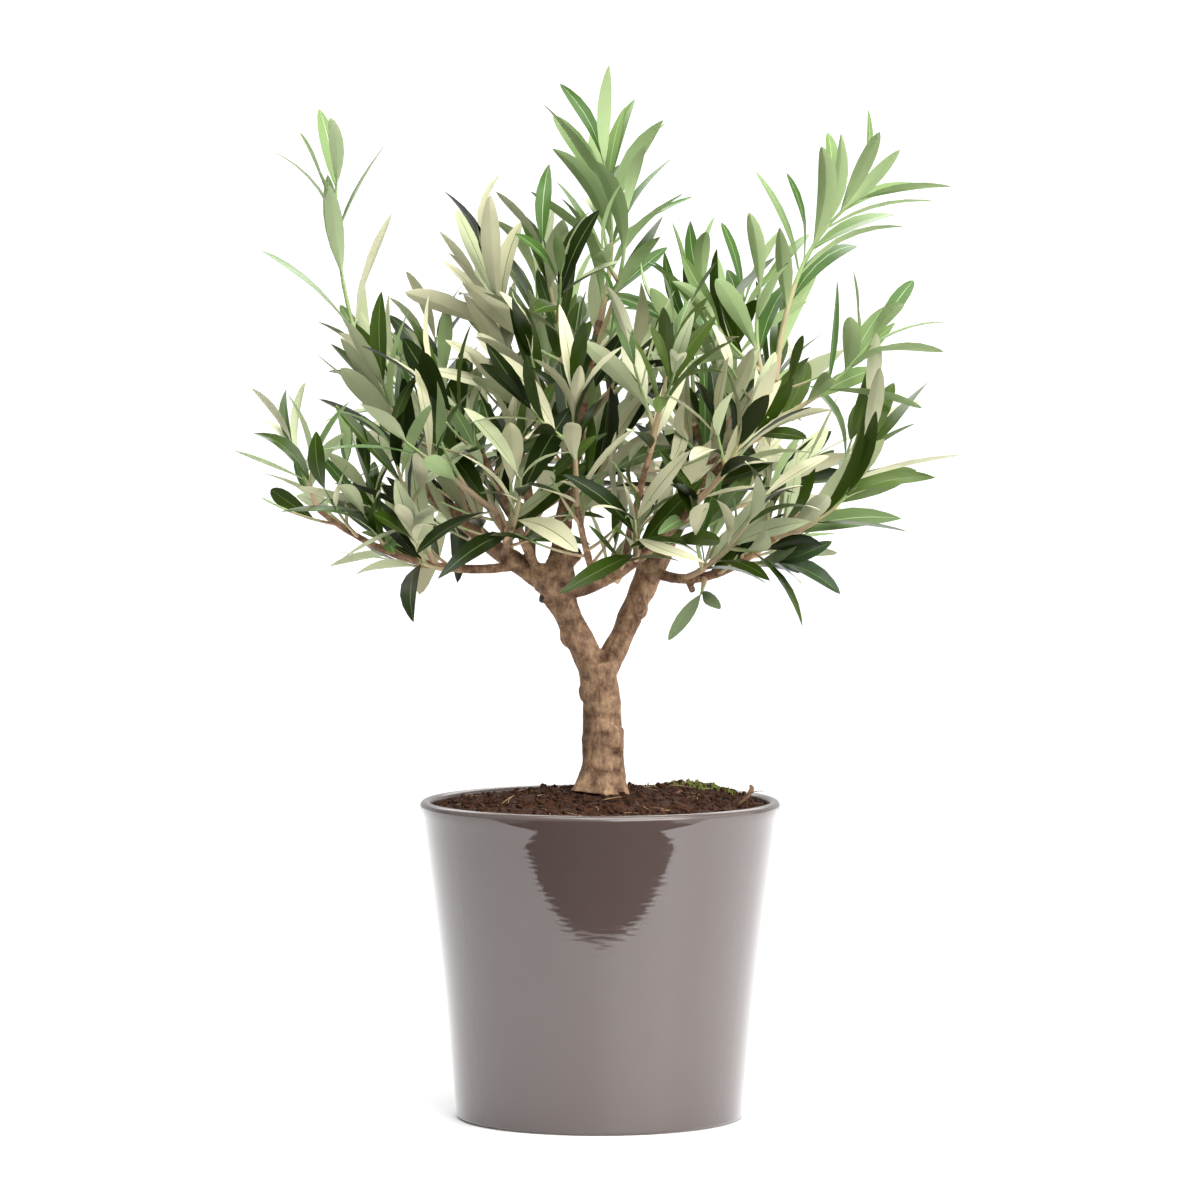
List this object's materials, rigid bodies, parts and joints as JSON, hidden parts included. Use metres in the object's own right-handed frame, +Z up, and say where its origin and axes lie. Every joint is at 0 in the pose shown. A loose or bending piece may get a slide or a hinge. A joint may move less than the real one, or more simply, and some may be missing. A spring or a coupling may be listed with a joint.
{
  "type": "potted olive tree",
  "caption": "Young olive tree with a forked trunk and an open crown of narrow leaves, planted in soil in a tapering round glazed pot.",
  "frame": {"origin": "centre of the pot's flat underside", "axes": "+Z up along the pot's axis, -Y to the front of the plant, +X to the right as seen from the front"},
  "size_m": [0.3771, 0.2969, 0.5548],
  "materials": {
    "glazed_pot": "smooth glossy grey-brown glaze",
    "soil": "loose dark potting soil, a mix of peat and bark fibre",
    "bark": "living olive wood with thin grey-brown bark",
    "foliage": "green twigs and leathery leaves, grey-green above and silvery below"
  },
  "bodies": {
    "root": {"pot": "glazed_pot", "soil": "soil", "trunk": "bark", "left_stem": "bark", "right_stem": "bark", "left_bough": "bark", "leader": "bark", "front_bough": "bark", "right_leader": "bark", "right_low_bough": "bark", "right_upper_bough": "bark", "right_back_bough": "bark", "low_left_bough": "bark", "mid_left_bough": "bark", "upright_left_bough": "bark", "fore_left_bough": "bark", "back_left_bough": "bark", "front_twig": "bark", "front_left_twig": "bark", "back_bough": "bark", "back_left_low_spray": "foliage", "back_left_spray": "foliage", "back_left_top_spray": "foliage", "back_low_spray": "foliage", "back_spray": "foliage", "back_top_spray": "foliage", "centre_right_spray": "foliage", "centre_spray": "foliage", "far_left_spray": "foliage", "fore_left_spray": "foliage", "front_centre_spray": "foliage", "front_left_centre_spray": "foliage", "front_right_spray": "foliage", "front_rosette": "foliage", "inner_right_spray": "foliage", "left_hanging_leaves": "foliage", "left_mid_spray": "foliage", "left_spray": "foliage", "left_sprig": "foliage", "low_centre_spray": "foliage", "low_fore_left_spray": "foliage", "low_left_spray": "foliage", "low_right_spray": "foliage", "mid_left_spray": "foliage", "right_back_low_spray": "foliage", "right_back_spray": "foliage", "right_back_top_spray": "foliage", "right_crown_spray": "foliage", "right_hanging_leaves": "foliage", "right_leader_spray": "foliage", "right_low_spray": "foliage", "right_low_sprig": "foliage", "right_mid_sprig": "foliage", "right_outer_leaves": "foliage", "right_tall_sprig": "foliage", "right_top_spray": "foliage", "top_right_spray": "foliage", "top_sprig": "foliage", "upper_left_spray": "foliage", "upright_left_spray": "foliage"}
  },
  "joints": []
}
